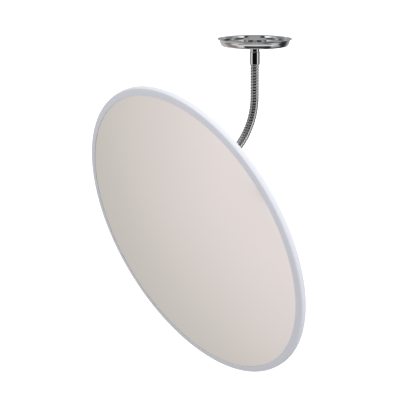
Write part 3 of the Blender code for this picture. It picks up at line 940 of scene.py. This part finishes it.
def boss():
    """Turned flange with a tapering neck, on which the lower ferrule seats."""
    radius, low, high = size_in("gooseneck_boss", ATTACH)
    flange_back = high - 0.0035
    neck_root, neck_end = 0.0115, 0.0090
    outline = filleted([
        (radius, high, 0.0002), (radius, flange_back, 0.0012),
        (neck_root, flange_back, 0.0035), (neck_end, low, 0.0010),
        (STUD_HOLE, low, 0.0002), (STUD_HOLE, high, 0.0002)])
    piece = lathe("neck_boss", outline, BOSS_STEPS, CHROME, ATTACH)
    carve(piece, [cutter(SCREW_HOLE, high - 0.006, high + 0.002, spot)
                  for spot in on_circle(ATTACH, BOSS_CIRCLE)])
    shown(piece, "mirror_head", "gooseneck_boss")


def boss_screws():
    """Button-head screws with a six-sided socket, each tightened to its own angle."""
    head_height, socket_radius = 0.0022, 0.0014
    for index, base in enumerate(on_circle(ATTACH, BOSS_CIRCLE), start=1):
        node = "boss_screw_%d" % index
        _, head_top, tip = size_in(node, base)
        seat = head_top + head_height
        outline = filleted([
            (0.0, tip, 0.0), (SCREW_RADIUS - 0.0004, tip, 0.0002),
            (SCREW_RADIUS, tip - 0.0006, 0.0002), (SCREW_RADIUS, seat, 0.0001),
            (0.0038, seat, 0.0002), (0.0037, seat - 0.0008, 0.0006),
            (0.0022, head_top, 0.0010), (0.0, head_top, 0.0)], SMALL_FILLET_STEPS)
        screw = lathe("button_screw_%d" % index, outline, SCREW_STEPS, ZINC, base)
        turn = Matrix.Rotation(math.radians(17.0 * index), 4, "Z")
        carve(screw, [cutter(socket_radius, seat - 0.004, seat - 0.0009, base @ turn, 6)])
        shown(screw, "mirror_head", node)


def inner_hardware():
    """Pieces closed in behind the cap keep their CAD shape, with softened edges."""
    for node in ("reinforcing_plate", "stud_nut", "boss_nut_1", "boss_nut_2", "boss_nut_3"):
        obj = NODES[node]
        obj.data.materials.clear()
        obj.data.materials.append(ZINC)
        bevel = obj.modifiers.new("soft_edges", "BEVEL")
        bevel.width = 0.00025
        bevel.segments = 2
        bevel.limit_method = "ANGLE"


def mirror_head():
    mirror_cap()
    edge_trim()
    back_pan()
    boss()
    boss_screws()
    inner_hardware()
    plain_washer("boss_washer_fine", "boss_washer", ATTACH, "mirror_head",
                 CHROME)
    plain_washer("stud_washer_fine", "stud_washer", ATTACH, "mirror_head",
                 ZINC)
    threaded_stud("lower_stud_thread", "lower_stud", ATTACH, "mirror_head")
    ferrule("lower_ferrule_sleeve", "lower_ferrule", ATTACH, "mirror_head")


# --------------------------------------------------------------------------------- studio
def studio_floor():
    """Pale floor, so wide that it meets a white horizon; it lights and tints nothing."""
    shape = bmesh.new()
    bmesh.ops.create_grid(shape, x_segments=1, y_segments=1, size=120.0)
    floor = placed("floor", shape)
    floor.location.z = CAD_BOX[0].z - FLOOR_DROP
    floor.visible_glossy = False
    floor.visible_diffuse = False
    sh = Shader("pale_floor")
    sh.set(Base_Color=grey(0.90), Roughness=0.9, Emission_Color=grey(1.0),
           Emission_Strength=0.45)
    floor.data.materials.append(sh.material)


class WorldShader(Shader):
    """The world's node tree; its place is the direction looked in."""

    def __init__(self):
        world = bpy.data.worlds.new("soft_studio")
        bpy.context.scene.world = world
        world.use_nodes = True
        self.tree = world.node_tree
        self.base = self.tree.nodes["Background"]
        self.place = self.node("ShaderNodeTexCoord").outputs["Generated"]


def studio_world():
    """White to the eye; reflections see a warm room beside a dark camera corner.

    The room is made of bands of height: below, around, above, overhead and a grey top.
    Three of them are ramps that run from behind the object (0) round to the camera (1).
    Below, the camera's side is a ramp that runs from straight down (0) to level (1).
    """
    sh = WorldShader()
    height = sh.towards(sh.place, (0.0, 0.0, 1.0))
    facing = sh.towards(sh.place, FLAT_BACK)
    sideways = sh.towards(sh.place, RIGHT)
    level = sh.math("SQRT", sh.math("SUBTRACT", 1.0001,
                                    sh.math("MULTIPLY", height, height)))
    turned = sh.span(sh.math("DIVIDE", facing, level), -1.0, 1.0, 0.0, 1.0)
    around = sh.ramp(turned, ((0.0, 0.34), (0.08, 0.36), (0.20, 0.06), (0.46, 0.06),
                              (0.53, 0.85), (0.745, 0.92), (0.80, 0.008), (1.0, 0.006)))
    above = sh.ramp(turned, ((0.0, 0.55), (0.45, 0.60), (0.66, 0.10), (0.84, 0.03),
                             (0.92, 0.03), (0.97, 0.22), (1.0, 0.22)))
    overhead = sh.ramp(turned, ((0.0, 0.55), (0.45, 0.75), (0.66, 1.20), (0.78, 1.10),
                                (0.84, 0.03), (0.90, 0.03), (0.95, 0.35), (1.0, 0.35)))
    below = sh.ramp(sh.span(height, -1.0, 0.0, 0.0, 1.0),
                    ((0.0, 0.85), (0.02, 0.80), (0.06, 0.03), (0.19, 0.03), (0.25, 0.95),
                     (0.53, 1.00), (0.58, 0.02), (1.0, 0.02)))
    front = sh.span(facing, -0.40, -0.20, 0.0, 1.0)
    down = sh.span(height, -0.44, -0.36, 1.0, 0.0)
    room = sh.blend_colour(down, around, grey(0.05))
    room = sh.blend_colour(sh.math("MULTIPLY", front, down), room, below)
    for low, high, tone in ((0.32, 0.42, above), (0.74, 0.82, overhead),
                            (0.93, 0.97, grey(0.8))):
        room = sh.blend_colour(sh.span(height, low, high, 0.0, 1.0), room, tone)
    warm, warm_share = sh.warm_room(sh.place)
    reflected = sh.blend_colour(warm_share, room, warm)

    lift = sh.math("ADD", sh.math("MULTIPLY", height, 0.30),
                   sh.math("MULTIPLY", sideways, 0.28))
    brightness = sh.math("ADD", lift, 0.80)
    soft_light = sh.node("ShaderNodeCombineColor")
    for index, tint in enumerate((0.985, 0.985, 1.03)):
        sh.put(soft_light.inputs[index], sh.math("MULTIPLY", brightness, tint))

    path = sh.node("ShaderNodeLightPath")
    seen = sh.blend_colour(path.outputs["Is Glossy Ray"], soft_light.outputs[0], reflected)
    seen = sh.blend_colour(path.outputs["Is Camera Ray"], seen, grey(1.0))
    sh.put(sh.base.inputs["Color"], seen)


def area_light(name, direction, distance, size, power):
    """A large soft light shining at the object's middle from a direction."""
    aim = (CAD_BOX[0] + CAD_BOX[1]) / 2.0
    data = bpy.data.lights.new(name, "AREA")
    data.shape = "DISK"
    data.size = size
    data.energy = power
    lamp = bpy.data.objects.new(name, data)
    bpy.context.scene.collection.objects.link(lamp)
    lamp.location = aim + direction.normalized() * distance
    lamp.rotation_mode = "QUATERNION"
    lamp.rotation_quaternion = direction.to_track_quat("Z", "Y")
    lamp.visible_glossy = False


def studio_lights():
    area_light("key_light", RIGHT * 0.8 + UP * 0.9 + BACK * 0.7, distance=2.2, size=1.4,
               power=6.0)
    area_light("fill_light", RIGHT * -0.9 + UP * 0.4 + BACK * 0.9, distance=2.6, size=1.8,
               power=4.0)


def studio_camera():
    data = bpy.data.cameras.new("camera")
    data.lens = CAMERA_LENS
    data.sensor_width = CAMERA_SENSOR
    data.clip_end = 400.0         # the floor's far edge is in view
    camera = bpy.data.objects.new("camera", data)
    bpy.context.scene.collection.objects.link(camera)
    aim = RIGHT * AIM_ACROSS + Vector((0.0, 0.0, AIM_HEIGHT))
    camera.location = aim + BACK * CAMERA_DISTANCE
    camera.rotation_mode = "QUATERNION"
    camera.rotation_quaternion = BACK.to_track_quat("Z", "Y")
    bpy.context.scene.camera = camera
    bpy.context.scene.view_settings.view_transform = "Standard"


rose_parts()
gooseneck()
mirror_head()
studio_floor()
studio_world()
studio_lights()
studio_camera()
